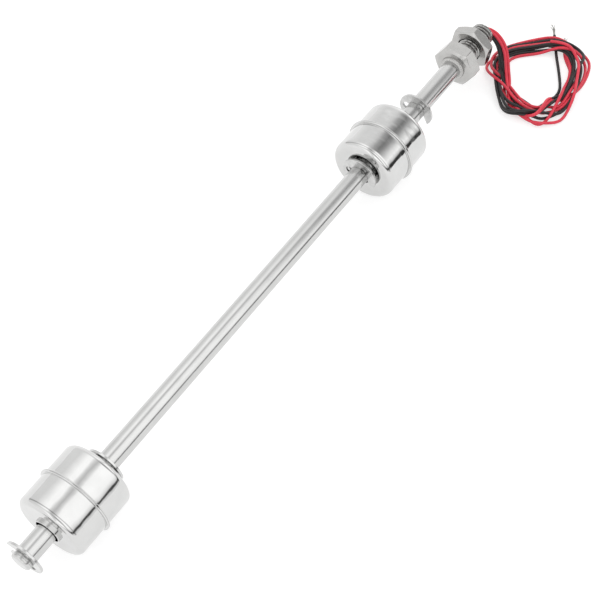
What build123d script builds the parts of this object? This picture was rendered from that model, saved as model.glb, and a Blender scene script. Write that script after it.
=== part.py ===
"""A vertical float level switch with two floats, lying on a surface beside its own coiled wires.

The stem lies along X with the threaded head at +X. Z is up, and the seam bead of each float touches z = 0.
X = 0 is halfway along the switch. Sizes are in millimetres.
"""

import math
import os

from build123d import *

os.makedirs("parts", exist_ok=True)

# Driving dimensions: the stem and its head
stem_diameter = 8.0
stem_wall = 0.75
stem_below_hex = 270.0  # from the closed end to the hex
hex_across_flats = 17.0
hex_height = 6.4
hex_face_radius = 7.5  # the flat ring left inside the lower chamfer
hex_top_radius = 8.3
hex_chamfer_angle = 30.0  # degrees, on the corners of the hex and of the nut
socket_depth = 3.84  # how far the stem goes into the hex
thread_diameter = 10.0
thread_length = 18.4
thread_pitch = 1.5
thread_end_chamfer = 0.6
undercut_depth = 0.75
seat_relief = 0.3  # depth of the sunk ring in the hex round the thread's root, and its width past the thread
wire_bore_diameter = 6.0
weld_leg = 1.4  # the bead that seals the stem into the hex, along the stem
weld_height = 1.54  # where the bead meets the hex
weld_crown_along = 0.77  # the bead's fullest place, back from the hex
weld_crown_height = 0.98
nut_height = 4.8
nut_above_hex = 6.2
nut_face_radius = 8.1
nut_mouth = 0.5  # the countersink at each end of the nut's thread
nut_turn = 35.0  # degrees that the nut stands turned from the hex

# Driving dimensions: the closed end of the stem
end_cap_height = 1.4
end_cap_round = 1.1
end_cap_spigot = 3.0

# Driving dimensions: the floats
bead_diameter = 30.0  # the widest place of a float, at its seam
bead_height = 1.0  # how far the seam bead stands out of the float's side
bead_lip = 0.55  # thickness of each half's lip at the seam
float_length = 26.8
float_wall = 0.5
float_edge_radius = 2.2
sleeve_bore = 9.6
sleeve_wall = 0.5
hub_height = 1.0  # how far the sleeve stands out of each end
magnet_diameter = 19.0
magnet_length = 8.0
collar_wall = 1.6
collar_length = 3.0

# Driving dimensions: the retaining clips
clip_diameter = 15.2
clip_thickness = 0.9
clip_groove_diameter = 7.0
clip_mouth = 6.0
clip_notch_radius = 1.7
clip_notch_reach = 6.1  # from the axis to the outermost point of each notch
clip_notch_turn = 120.0  # degrees from the mouth round to each notch
clip_spacing = 40.4  # the free length between the two clips of a float
first_clip_from_end = 2.3
last_clip_from_hex = 27.9
lower_float_headroom = 1.1  # left above the lower float as it lies
upper_float_footroom = 0.1  # left below the upper float as it lies
clip_turns = {  # degrees from +Y towards +Z to which each clip's mouth points
    "lower_float_bottom_clip": 356.0,
    "lower_float_top_clip": 293.0,
    "upper_float_bottom_clip": 240.0,
    "upper_float_top_clip": 243.0,
}

# Driving dimensions: the reed switches and wires
wire_diameter = 1.3
glass_diameter = 2.2
glass_length = 14.0
glass_round_share = 0.4  # of the glass's diameter, at its sealed ends
reed_lead_diameter = 0.6
reed_lead_length = 5.0
shrink_wall = 0.3
shrink_overhang = 2.0
potting_length = 12.0
potting_recess = 0.6
strand_diameter = 0.9  # the bare end of a wire
coil_height = 4.4
coil_edge = 1.5

# Clearances
slip = 0.05  # radial, between pieces that slide on or sit in each other
play = 0.05  # axial, each side of a clip in its groove
seat = 0.02  # between pieces that are pushed or cast together

# Derived sizes
total_length = stem_below_hex + hex_height + thread_length
axis_height = bead_diameter / 2
end_x = -total_length / 2
hex_x = end_x + stem_below_hex
thread_x = hex_x + hex_height
exit_x = thread_x + thread_length
nut_x = thread_x + nut_above_hex
stem_radius = stem_diameter / 2
stem_bore_radius = stem_radius - stem_wall
tube_end_x = end_x + end_cap_height
hex_corner_radius = hex_across_flats / math.sqrt(3)
chamfer_slope = math.tan(math.radians(hex_chamfer_angle))
chamfer_reach = 1.1 * hex_corner_radius  # just outside the corners that it cuts
thread_radius = thread_diameter / 2
groove_radius = clip_groove_diameter / 2
float_diameter = bead_diameter - 2 * bead_height
sleeve_radius = sleeve_bore / 2 + sleeve_wall
sleeve_length = float_length + 2 * hub_height
lower_clip_x = end_x + first_clip_from_end
lower_stop_x = lower_clip_x + clip_thickness + clip_spacing
upper_stop_x = hex_x - last_clip_from_hex - clip_thickness
upper_clip_x = upper_stop_x - clip_spacing - clip_thickness
lower_float_x = lower_stop_x - lower_float_headroom - hub_height - float_length
upper_float_x = upper_clip_x + clip_thickness + upper_float_footroom + hub_height
wire_radius = wire_diameter / 2

# Where things lie across the stem, as (y, z) from its axis
reed_place = (0.0, -1.2)
wire_places = {
    "red_wire_1": (0.75, 1.9),
    "red_wire_2": (-0.75, 1.9),
    "black_wire_1": (-2.1, 0.1),
    "black_wire_2": reed_place,
}

stem_axis = Axis((0, 0, axis_height), (1, 0, 0))
side_plane = Plane(origin=(0, 0, axis_height), x_dir=(1, 0, 0), z_dir=(0, -1, 0))


def cross_plane(x):
    """The plane across the stem at x, with its own x along +Y and its own y along +Z."""
    return Plane(origin=(x, 0, axis_height), x_dir=(0, 1, 0), z_dir=(1, 0, 0))


def finish(builder, name):
    """Labels a finished piece and writes it."""
    builder.part.label = name
    export_step(builder.part, f"parts/{name}.step")


# The stem tube, closed below and open above, with a groove for each clip
clip_places = {
    "lower_float_bottom_clip": lower_clip_x,
    "lower_float_top_clip": lower_stop_x,
    "upper_float_bottom_clip": upper_clip_x,
    "upper_float_top_clip": upper_stop_x,
}
stem_length = hex_x + socket_depth - tube_end_x
with BuildPart() as stem_tube:
    with BuildSketch(cross_plane(tube_end_x)):
        Circle(stem_radius)
        Circle(stem_bore_radius, mode=Mode.SUBTRACT)
    extrude(amount=stem_length)
    for clip_x in clip_places.values():
        with BuildSketch(cross_plane(clip_x - play)):
            Circle(clip_diameter / 2)
            Circle(groove_radius, mode=Mode.SUBTRACT)
        extrude(amount=clip_thickness + 2 * play, mode=Mode.SUBTRACT)
finish(stem_tube, "stem_tube")

# The plug that closes the lower end of the tube, with a rounded shoulder
with BuildPart() as stem_end_plug:
    with BuildSketch(side_plane):
        with BuildLine():
            spigot_x = tube_end_x + end_cap_spigot
            spigot_radius = stem_bore_radius - seat
            Polyline(
                (end_x, 0),
                (end_x, stem_radius),
                (tube_end_x, stem_radius),
                (tube_end_x, spigot_radius),
                (spigot_x, spigot_radius),
                (spigot_x, 0),
                (end_x, 0),
            )
        make_face()
    revolve(axis=stem_axis)
    fillet(stem_end_plug.edges().filter_by(GeomType.CIRCLE).sort_by(Axis.X)[0], end_cap_round)
finish(stem_end_plug, "stem_end_plug")

# The mounting head: a hex with a male thread above it, bored for the wires and welded round the stem
with BuildPart() as mounting_head:
    with BuildSketch(cross_plane(hex_x)):
        RegularPolygon(hex_corner_radius, 6)
    extrude(amount=hex_height)
    with BuildSketch(side_plane):
        with BuildLine():
            lower_chamfer = (chamfer_reach - hex_face_radius) * chamfer_slope
            upper_chamfer = (chamfer_reach - hex_top_radius) * chamfer_slope
            Polyline(
                (hex_x, 0),
                (hex_x, hex_face_radius),
                (hex_x + lower_chamfer, chamfer_reach),
                (thread_x - upper_chamfer, chamfer_reach),
                (thread_x, hex_top_radius),
                (thread_x, 0),
                (hex_x, 0),
            )
        make_face()
    revolve(axis=stem_axis, mode=Mode.INTERSECT)
    relief_x = thread_x - seat_relief
    with BuildSketch(cross_plane(relief_x)):
        Circle(thread_radius + seat_relief)
    extrude(amount=seat_relief, mode=Mode.SUBTRACT)
    with BuildSketch(side_plane):
        with BuildLine():
            undercut_radius = thread_radius - undercut_depth
            Polyline(
                (relief_x, 0),
                (relief_x, undercut_radius),
                (thread_x + thread_pitch - undercut_depth, undercut_radius),
                (thread_x + thread_pitch, thread_radius),
                (exit_x - thread_end_chamfer, thread_radius),
                (exit_x, thread_radius - thread_end_chamfer),
                (exit_x, 0),
                (relief_x, 0),
            )
        make_face()
        with BuildLine():
            Polyline(
                (hex_x, stem_radius),
                (hex_x - weld_leg, stem_radius + seat),
                (hex_x - weld_crown_along, stem_radius + weld_crown_height),
                (hex_x, stem_radius + weld_height),
                (hex_x, stem_radius),
            )
        make_face()
    revolve(axis=stem_axis)
    with BuildSketch(cross_plane(hex_x - weld_leg)):
        Circle(stem_radius + seat)
    extrude(amount=weld_leg + socket_depth, mode=Mode.SUBTRACT)
    with BuildSketch(cross_plane(hex_x)):
        Circle(wire_bore_diameter / 2)
    extrude(amount=hex_height + thread_length, mode=Mode.SUBTRACT)
finish(mounting_head, "mounting_head")

# The lock nut, chamfered on both faces and run partway down the thread
with BuildPart() as lock_nut:
    with BuildSketch(cross_plane(nut_x)):
        RegularPolygon(hex_corner_radius, 6, rotation=nut_turn)
        Circle(thread_radius + slip, mode=Mode.SUBTRACT)
    extrude(amount=nut_height)
    with BuildSketch(side_plane):
        with BuildLine():
            nut_end_x = nut_x + nut_height
            nut_chamfer = (chamfer_reach - nut_face_radius) * chamfer_slope
            bore_radius = thread_radius + slip
            Polyline(
                (nut_x, bore_radius + nut_mouth),
                (nut_x, nut_face_radius),
                (nut_x + nut_chamfer, chamfer_reach),
                (nut_end_x - nut_chamfer, chamfer_reach),
                (nut_end_x, nut_face_radius),
                (nut_end_x, bore_radius + nut_mouth),
                (nut_end_x - nut_mouth, bore_radius),
                (nut_x + nut_mouth, bore_radius),
                (nut_x, bore_radius + nut_mouth),
            )
        make_face()
    revolve(axis=stem_axis, mode=Mode.INTERSECT)
finish(lock_nut, "lock_nut")

# The four retaining clips, each with a mouth and two notches between its three prongs
for name, clip_x in clip_places.items():
    notch_centre = clip_notch_reach - clip_notch_radius
    with BuildPart() as clip:
        with BuildSketch(cross_plane(clip_x)):
            Circle(clip_diameter / 2)
            Circle(groove_radius + seat, mode=Mode.SUBTRACT)
            with PolarLocations(clip_diameter / 2, 1, clip_turns[name]):
                Rectangle(clip_diameter, clip_mouth, mode=Mode.SUBTRACT)
            with PolarLocations(notch_centre, 2, clip_turns[name] + clip_notch_turn, 2 * clip_notch_turn):
                Circle(clip_notch_radius, mode=Mode.SUBTRACT)
        extrude(amount=clip_thickness)
    finish(clip, name)


def half_shell(seam_x, outward):
    """The outline of one drawn half of a float, from its sleeve hole round to the lip at the seam."""
    half = float_length / 2
    outer = float_diameter / 2
    hole = sleeve_radius + seat
    face_x = seam_x + outward * half
    inner_face_x = face_x - outward * float_wall
    inner_edge = float_edge_radius - float_wall
    lip_x = seam_x + outward * bead_lip
    Line((face_x, hole), (face_x, outer - float_edge_radius))
    RadiusArc(
        (face_x, outer - float_edge_radius),
        (face_x - outward * float_edge_radius, outer),
        -outward * float_edge_radius,
    )
    Line((face_x - outward * float_edge_radius, outer), (lip_x, outer))
    Line((lip_x, outer), (lip_x, bead_diameter / 2 - bead_lip))
    RadiusArc(
        (lip_x, bead_diameter / 2 - bead_lip),
        (seam_x, bead_diameter / 2),
        -outward * bead_lip,
    )
    Line((seam_x, bead_diameter / 2), (seam_x, outer - float_wall))
    Line((seam_x, outer - float_wall), (inner_face_x - outward * inner_edge, outer - float_wall))
    RadiusArc(
        (inner_face_x - outward * inner_edge, outer - float_wall),
        (inner_face_x, outer - float_wall - inner_edge),
        outward * inner_edge,
    )
    Line((inner_face_x, outer - float_wall - inner_edge), (inner_face_x, hole))
    Line((inner_face_x, hole), (face_x, hole))


# The two floats: two half shells, the sleeve that joins them, the ring magnet and its collars
for prefix, float_x in (("lower_float", lower_float_x), ("upper_float", upper_float_x)):
    middle_x = float_x + float_length / 2
    for half, outward in (("bottom_shell", -1), ("top_shell", 1)):
        with BuildPart() as shell:
            with BuildSketch(side_plane):
                with BuildLine():
                    half_shell(middle_x, outward)
                make_face()
            revolve(axis=stem_axis)
        finish(shell, f"{prefix}_{half}")
    with BuildPart() as sleeve:
        with BuildSketch(cross_plane(float_x - hub_height)):
            Circle(sleeve_radius)
            Circle(sleeve_bore / 2, mode=Mode.SUBTRACT)
        extrude(amount=sleeve_length)
    finish(sleeve, f"{prefix}_sleeve")
    with BuildPart() as magnet:
        with BuildSketch(cross_plane(middle_x - magnet_length / 2)):
            Circle(magnet_diameter / 2)
            Circle(sleeve_radius + slip, mode=Mode.SUBTRACT)
        extrude(amount=magnet_length)
    finish(magnet, f"{prefix}_magnet")
    collar_places = (
        middle_x - magnet_length / 2 - seat - collar_length,
        middle_x + magnet_length / 2 + seat,
    )
    with BuildPart() as collars:
        for collar_x in collar_places:
            with BuildSketch(cross_plane(collar_x)):
                Circle(sleeve_radius + collar_wall)
                Circle(sleeve_radius + seat, mode=Mode.SUBTRACT)
            extrude(amount=collar_length)
    finish(collars, f"{prefix}_magnet_collars")

# The reed switches, one in the middle of each float's travel: a glass, its two leads and a shrink sleeve
reed_middles = {
    "lower_reed": lower_clip_x + clip_thickness + clip_spacing / 2,
    "upper_reed": upper_clip_x + clip_thickness + clip_spacing / 2,
}
shrink_length = glass_length + 2 * shrink_overhang
for prefix, middle_x in reed_middles.items():
    glass_x = middle_x - glass_length / 2
    with BuildPart() as glass:
        with BuildSketch(cross_plane(glass_x)):
            with Locations(reed_place):
                Circle(glass_diameter / 2)
        extrude(amount=glass_length)
        fillet(glass.edges(), glass_round_share * glass_diameter)
    finish(glass, f"{prefix}_glass")
    with BuildPart() as leads:
        for lead_x in (glass_x - reed_lead_length, glass_x + glass_length):
            with BuildSketch(cross_plane(lead_x)):
                with Locations(reed_place):
                    Circle(reed_lead_diameter / 2)
            extrude(amount=reed_lead_length)
    finish(leads, f"{prefix}_leads")
    with BuildPart() as shrink:
        with BuildSketch(cross_plane(middle_x - shrink_length / 2)):
            with Locations(reed_place):
                Circle(glass_diameter / 2 + seat + shrink_wall)
                Circle(glass_diameter / 2 + seat, mode=Mode.SUBTRACT)
        extrude(amount=shrink_length)
    finish(shrink, f"{prefix}_shrink_sleeve")


# The straight wires inside the stem: two red ones from the lower reed, two black ones from the upper reed
wire_starts = {
    "red_wire_1": ("lower_reed", -1),
    "red_wire_2": ("lower_reed", 1),
    "black_wire_1": ("upper_reed", -1),
    "black_wire_2": ("upper_reed", 1),
}
for name, (reed, side) in wire_starts.items():
    lead_end = reed_middles[reed] + side * (glass_length / 2 + reed_lead_length)
    bar_x = lead_end if side > 0 else lead_end - reed_lead_diameter
    straight_on = wire_places[name] == reed_place
    wire_x = bar_x if straight_on else bar_x + reed_lead_diameter
    with BuildPart() as inner_wire:
        if not straight_on:
            # A thin bar runs across from the reed's lead to the start of its wire
            (near_y, near_z), (far_y, far_z) = reed_place, wire_places[name]
            reach = math.hypot(far_y - near_y, far_z - near_z)
            lean = math.degrees(math.atan2(far_z - near_z, far_y - near_y))
            with BuildSketch(cross_plane(bar_x)):
                with Locations(Location(((near_y + far_y) / 2, (near_z + far_z) / 2), lean)):
                    SlotOverall(reach + reed_lead_diameter, reed_lead_diameter)
            extrude(amount=reed_lead_diameter)
        with BuildSketch(cross_plane(wire_x)):
            with Locations(wire_places[name]):
                Circle(wire_radius)
        extrude(amount=exit_x - wire_x)
    finish(inner_wire, f"inner_{name}")

# The resin that seals the bore of the head round the four wires
with BuildPart() as potting_plug:
    with BuildSketch(cross_plane(exit_x - potting_recess - potting_length)):
        Circle(wire_bore_diameter / 2 - seat)
        for place in wire_places.values():
            with Locations(place):
                Circle(wire_radius + seat, mode=Mode.SUBTRACT)
    extrude(amount=potting_length)
finish(potting_plug, "potting_plug")

# The routes of the four wires from the thread's end down to the coil, as (x from the thread's end, y, z)
lead_out = 2.7  # each wire leaves its bore straight for this far
wire_routes = {
    "red_wire_1": [
        (4.9, -1.6, 18.1),
        (5.6, -5.4, 17.3),
        (4.5, -9.4, 14.2),
        (1.0, -13.2, 9.8),
        (-3.6, -16.2, 6.7),
        (-9.4, -19.4, 4.2),
    ],
    "red_wire_2": [
        (4.2, -3.2, 16.3),
        (4.0, -6.7, 14.5),
        (2.2, -10.2, 11.6),
        (-1.4, -13.0, 8.4),
        (-5.4, -15.6, 5.9),
        (-10.6, -18.2, 4.0),
    ],
    "black_wire_1": [
        (3.5, -4.4, 14.1),
        (2.1, -7.3, 11.9),
        (-0.5, -10.1, 9.4),
        (-4.1, -13.2, 6.9),
        (-7.8, -15.4, 5.2),
        (-11.8, -17.2, 3.8),
    ],
    "black_wire_2": [
        (4.3, -2.4, 12.9),
        (3.2, -5.6, 11.1),
        (0.4, -8.2, 9.4),
        (-3.0, -10.4, 7.5),
        (-6.6, -12.9, 5.7),
        (-11.4, -15.6, 3.6),
    ],
}


arc_share = 0.45  # of the shorter run beside a corner, taken up by the corner's arc


def corner_radii(points):
    """The radius of the arc at each corner of a route, as large as the runs beside the corner allow."""
    radii = []
    for before, here, after in zip(points, points[1:], points[2:]):
        arriving = Vector(*here) - Vector(*before)
        leaving = Vector(*after) - Vector(*here)
        turn = math.radians(arriving.get_angle(leaving))
        shorter = min(arriving.length, leaving.length)
        radii.append(arc_share * shorter / math.tan(turn / 2))
    return radii


def wire_tube(name, points, radius):
    """A round wire along straight runs joined by arcs. Prints its volume as a share of section times length."""
    radii = corner_radii(points)
    with BuildPart() as tube:
        with BuildLine():
            path = FilletPolyline(*points, radius=radii)
        with BuildSketch(Plane(origin=path @ 0, z_dir=path % 0)):
            Circle(radius)
        sweep(path=path)
    expected = math.pi * radius**2 * path.length
    print(name, "radii", [round(r, 1) for r in radii], "volume share", round(tube.part.volume / expected, 4))
    finish(tube, name)


for name, points in wire_routes.items():
    exit_y, exit_z = wire_places[name]
    straight_out = [(along, exit_y, axis_height + exit_z) for along in (0, lead_out)]
    route = [(exit_x + along, y, z) for along, y, z in (*straight_out, *points)]
    wire_tube(name, route, wire_radius)

# The loose coil that the four wires are wound into, outside and open middle, as (x from the thread's end, y)
coil_outside = [
    (-5.9, -6.2),
    (3.4, -3.4),
    (11.6, -6.2),
    (20.2, -13.0),
    (26.2, -20.4),
    (28.0, -28.9),
    (26.2, -36.2),
    (20.9, -42.2),
    (13.6, -45.2),
    (5.1, -46.6),
    (-4.0, -47.6),
    (-11.8, -46.6),
    (-18.0, -42.9),
    (-22.0, -37.6),
    (-22.8, -31.4),
    (-22.0, -25.4),
    (-19.0, -19.6),
    (-14.2, -13.6),
]
coil_inside = [
    (-1.0, -15.6),
    (5.8, -12.8),
    (12.4, -17.2),
    (17.8, -24.4),
    (16.8, -29.4),
    (10.0, -33.6),
    (1.0, -38.6),
    (-6.0, -38.0),
    (-11.2, -33.4),
    (-11.0, -27.0),
    (-7.6, -20.6),
]
with BuildPart() as wire_coil:
    with BuildSketch(Plane.XY):
        with BuildLine():
            Spline(*[(exit_x + along, y) for along, y in coil_outside], periodic=True)
        make_face()
        with BuildLine():
            Spline(*[(exit_x + along, y) for along, y in coil_inside], periodic=True)
        make_face(mode=Mode.SUBTRACT)
    extrude(amount=coil_height)
    chamfer(wire_coil.faces().sort_by(Axis.Z)[-1].edges(), coil_edge)
finish(wire_coil, "wire_coil")

# The two wire ends that stand out of the coil: black insulation, and bare strands
loose_ends = {
    "black_wire_tail": (wire_diameter, [(24.2, -24.4, 2.2), (26.4, -22.2, 2.3), (28.0, -20.9, 2.2)]),
    "black_wire_bare_end": (strand_diameter, [(28.0, -20.9, 2.2), (30.6, -18.9, 2.0), (33.3, -16.9, 1.6)]),
    "red_wire_bare_end": (strand_diameter, [(26.0, -28.0, 1.8), (28.0, -26.9, 1.7), (30.2, -25.2, 1.4)]),
}
for name, (diameter, points) in loose_ends.items():
    wire_tube(name, [(exit_x + along, y, z) for along, y, z in points], diameter / 2)
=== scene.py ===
"""Dresses a stainless float level switch with two floats, lying on a pale surface beside its coiled wires.

The stem lies along X with the threaded head at +X, and Z is up. Every size is in metres.
"""

import math

import bmesh
import bpy
from mathutils import Matrix, Vector


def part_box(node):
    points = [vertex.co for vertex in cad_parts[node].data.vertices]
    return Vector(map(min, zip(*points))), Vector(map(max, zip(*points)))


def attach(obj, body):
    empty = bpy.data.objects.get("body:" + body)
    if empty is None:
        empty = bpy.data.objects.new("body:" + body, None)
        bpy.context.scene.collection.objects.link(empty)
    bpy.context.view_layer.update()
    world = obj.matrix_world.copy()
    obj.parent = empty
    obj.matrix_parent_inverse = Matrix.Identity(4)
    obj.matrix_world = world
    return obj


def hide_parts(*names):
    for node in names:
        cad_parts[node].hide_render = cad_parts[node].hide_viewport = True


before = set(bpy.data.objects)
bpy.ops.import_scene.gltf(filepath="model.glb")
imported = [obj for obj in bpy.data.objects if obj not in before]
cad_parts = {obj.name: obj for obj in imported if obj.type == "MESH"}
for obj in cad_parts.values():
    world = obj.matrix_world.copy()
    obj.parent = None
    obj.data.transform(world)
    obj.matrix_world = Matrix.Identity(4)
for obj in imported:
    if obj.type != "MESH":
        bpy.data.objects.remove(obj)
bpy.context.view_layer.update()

bl_info = {
    "name": "Float Level Switch",
    "version": (1, 0, 0),
    "blender": (4, 5, 0),
    "location": "3D View > Sidebar > Level Switch",
    "description": "Builds the looks of a two-float level switch around its packed model",
    "category": "Object",
}

MM = 0.001

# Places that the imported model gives: the stem's axis, and where pieces begin and end along it
STEM_LOW, STEM_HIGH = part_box("stem_tube")
PLUG_LOW, PLUG_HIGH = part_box("stem_end_plug")
NUT_LOW, NUT_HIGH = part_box("lock_nut")
AXIS_HEIGHT = (STEM_LOW.z + STEM_HIGH.z) / 2
STEM_RADIUS = (STEM_HIGH.z - STEM_LOW.z) / 2
EXIT_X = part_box("mounting_head")[1].x

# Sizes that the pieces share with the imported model
SLEEVE_RADIUS = 5.3 * MM
SLEEVE_WALL = 0.5 * MM
PLUG_ROUND = 1.1 * MM
THREAD_LENGTH = 18.4 * MM
THREAD_END_CHAMFER = 0.6 * MM
UNDERCUT = 0.75 * MM
RELIEF = 0.3 * MM
SOCKET_RADIUS = 4.02 * MM
SOCKET_DEPTH = 3.84 * MM
CHAMFER_DEGREES = 30.0
HEX_FACE_RADIUS = 7.5 * MM
HEX_TOP_RADIUS = 8.3 * MM
NUT_TURN = 35.0
NUT_FACE_RADIUS = 8.1 * MM
NUT_MOUTH = 0.5 * MM
SEAT_X = EXIT_X - THREAD_LENGTH

# Room between pieces that touch
SAME_PLACE = 0.0001 * MM
FLOOR_GAP = 0.1 * MM
CLIP_PLAY = 0.05 * MM
PUSH_FIT = 0.02 * MM
THREAD_SLIP = 0.05 * MM
SEAM_LINE = 0.05 * MM

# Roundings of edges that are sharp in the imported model
GROOVE_ROUND = 0.12 * MM
SEAM_ROUND = 0.1 * MM
CLIP_EDGE_ROUND = 0.12 * MM
HEX_CORNER_ROUND = 0.3 * MM
HEX_CHAMFER_ROUND = 0.25 * MM
HEX_SIDE_ROUND = 0.2 * MM
HEX_FACE_ROUND = 0.1 * MM
RELIEF_ROUND = 0.08 * MM
BORE_ROUND = 0.12 * MM
MOUTH_ROUND = 0.06 * MM
LIP_ROUND = 0.15 * MM
BEAD_ROUND = 0.42 * MM
HUB_INNER_ROUND = 0.15 * MM
HUB_OUTER_ROUND = 0.2 * MM

# How finely round pieces are divided
TUBE_SIDES = 128
WELD_SIDES = 240
SHELL_SIDES = 256
SHELL_STEP = 0.5 * MM


class SwitchSizes(bpy.types.PropertyGroup):
    """Sizes of the visible detail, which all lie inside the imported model."""

    stem_wall: bpy.props.FloatProperty(
        name="Stem wall",
        description="Thickness of the stem tube",
        default=0.75 * MM,
        unit="LENGTH",
    )
    clip_groove_radius: bpy.props.FloatProperty(
        name="Clip groove",
        description="Radius of the stem in its clip grooves",
        default=3.5 * MM,
        unit="LENGTH",
    )
    clip_radius: bpy.props.FloatProperty(
        name="Clip radius",
        description="Outer radius of a retaining clip",
        default=7.6 * MM,
        unit="LENGTH",
    )
    clip_mouth: bpy.props.FloatProperty(
        name="Clip mouth",
        description="Width of a clip's open side",
        default=6.0 * MM,
        unit="LENGTH",
    )
    clip_notch_radius: bpy.props.FloatProperty(
        name="Clip notch",
        description="Radius of the two notches inside a clip",
        default=1.7 * MM,
        unit="LENGTH",
    )
    clip_notch_reach: bpy.props.FloatProperty(
        name="Clip notch reach",
        description="How far a notch reaches from the axis",
        default=6.1 * MM,
        unit="LENGTH",
    )
    hex_across_flats: bpy.props.FloatProperty(
        name="Hex across flats",
        description="Spanner size of the head and the nut",
        default=17.0 * MM,
        unit="LENGTH",
    )
    hex_height: bpy.props.FloatProperty(
        name="Hex height",
        description="Height of the head's hex",
        default=6.4 * MM,
        unit="LENGTH",
    )
    thread_radius: bpy.props.FloatProperty(
        name="Thread radius",
        description="Outer radius of the thread",
        default=5.0 * MM,
        unit="LENGTH",
    )
    thread_pitch: bpy.props.FloatProperty(
        name="Thread pitch",
        description="Rise of the thread in one turn",
        default=1.5 * MM,
        unit="LENGTH",
    )
    thread_depth: bpy.props.FloatProperty(
        name="Thread depth",
        description="Depth of the thread's groove",
        default=0.85 * MM,
        unit="LENGTH",
    )
    wire_bore_radius: bpy.props.FloatProperty(
        name="Wire bore",
        description="Radius of the bore that the wires leave by",
        default=3.0 * MM,
        unit="LENGTH",
    )
    float_wall: bpy.props.FloatProperty(
        name="Float wall",
        description="Sheet thickness of a float",
        default=0.5 * MM,
        unit="LENGTH",
    )
    float_edge_radius: bpy.props.FloatProperty(
        name="Float shoulder",
        description="Outer radius of a float's shoulders",
        default=2.2 * MM,
        unit="LENGTH",
    )
    float_bead_height: bpy.props.FloatProperty(
        name="Seam bead",
        description="How far the seam stands out of a float",
        default=1.0 * MM,
        unit="LENGTH",
    )
    float_bead_lip: bpy.props.FloatProperty(
        name="Seam lip",
        description="Thickness of each half's lip at the seam",
        default=0.55 * MM,
        unit="LENGTH",
    )
    float_dents: bpy.props.FloatProperty(
        name="Float waviness",
        description="Depth of the drawn shells' soft waves",
        default=0.02 * MM,
        unit="LENGTH",
    )
    wire_diameter: bpy.props.FloatProperty(
        name="Wire diameter",
        description="Diameter over the insulation",
        default=1.3 * MM,
        unit="LENGTH",
    )
    strand_diameter: bpy.props.FloatProperty(
        name="Strand diameter",
        description="Diameter of one bare copper strand",
        default=0.3 * MM,
        unit="LENGTH",
    )


class SwitchColours(bpy.types.PropertyGroup):
    """Colours of the finishes."""

    polished_steel: bpy.props.FloatVectorProperty(
        name="Polished steel",
        description="Floats",
        subtype="COLOR",
        default=(0.64, 0.64, 0.635),
    )
    drawn_steel: bpy.props.FloatVectorProperty(
        name="Drawn steel",
        description="Stem",
        subtype="COLOR",
        default=(0.6, 0.6, 0.595),
    )
    turned_steel: bpy.props.FloatVectorProperty(
        name="Turned steel",
        description="Head and lock nut",
        subtype="COLOR",
        default=(0.5, 0.495, 0.485),
    )
    red_insulation: bpy.props.FloatVectorProperty(
        name="Red insulation",
        description="Red wires",
        subtype="COLOR",
        default=(0.8, 0.05, 0.085),
    )
    black_insulation: bpy.props.FloatVectorProperty(
        name="Black insulation",
        description="Black wires",
        subtype="COLOR",
        default=(0.022, 0.02, 0.021),
    )
    tinned_copper: bpy.props.FloatVectorProperty(
        name="Tinned copper",
        description="Bare wire ends",
        subtype="COLOR",
        default=(0.42, 0.41, 0.39),
    )
    floor: bpy.props.FloatVectorProperty(
        name="Floor",
        description="Surface that the switch lies on",
        subtype="COLOR",
        default=(0.55, 0.55, 0.55),
    )


class SwitchStage(bpy.types.PropertyGroup):
    """The camera and the studio."""

    camera_place: bpy.props.FloatVectorProperty(
        name="Camera place",
        description="Where the camera stands",
        subtype="TRANSLATION",
        default=(-0.236558, -0.176465, 0.437245),
    )
    camera_tilt: bpy.props.FloatProperty(
        name="Camera tilt",
        description="Tilt up from straight down",
        subtype="ANGLE",
        default=math.radians(33.43),
    )
    camera_turn: bpy.props.FloatProperty(
        name="Camera turn",
        description="Turn about Z from +Y",
        subtype="ANGLE",
        default=math.radians(-54.65),
    )
    camera_lens: bpy.props.FloatProperty(
        name="Lens",
        description="Focal length in millimetres on a 36 mm sensor",
        default=81.857,
    )
    floor_size: bpy.props.FloatProperty(
        name="Floor size",
        description="Side of the square floor",
        default=6.0,
        unit="LENGTH",
    )
    floor_glow: bpy.props.FloatProperty(
        name="Floor glow",
        description="What the camera and gloss see added to the floor",
        default=0.6,
    )
    studio_light: bpy.props.FloatProperty(
        name="Studio light",
        description="Strength of the studio's soft boxes and walls",
        default=1.0,
    )


def group(name):
    """One of the property groups of this scene."""
    return getattr(bpy.context.scene, name)


# Meshes

# Edges that turn by more than this are shaded as edges
SHARP_DEGREES = 35.0


def arc(centre_x, centre_y, radius, start, end, steps):
    """Points along an arc, with its angles in degrees."""
    points = []
    for step in range(steps + 1):
        angle = math.radians(start + (end - start) * step / steps)
        points.append((centre_x + radius * math.cos(angle), centre_y + radius * math.sin(angle)))
    return points


def rounded(corners, steps=4):
    """A closed outline of (x, r) points, from corners given as (x, r, radius of the corner)."""
    outline = []
    for index, (x, r, radius) in enumerate(corners):
        corner = Vector((x, r))
        if radius == 0:
            outline.append((x, r))
            continue
        before = (Vector(corners[index - 1][:2]) - corner).normalized()
        after = (Vector(corners[(index + 1) % len(corners)][:2]) - corner).normalized()
        half = before.angle(after) / 2
        start = corner + before * radius / math.tan(half)
        centre = corner + (before + after).normalized() * radius / math.sin(half)
        turn = math.copysign(math.pi - 2 * half, before.cross(after))
        spoke = start - centre
        for step in range(steps + 1):
            swung = spoke.copy()
            swung.rotate(Matrix.Rotation(-turn * step / steps, 2))
            outline.append(tuple(centre + swung))
    return outline


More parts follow.
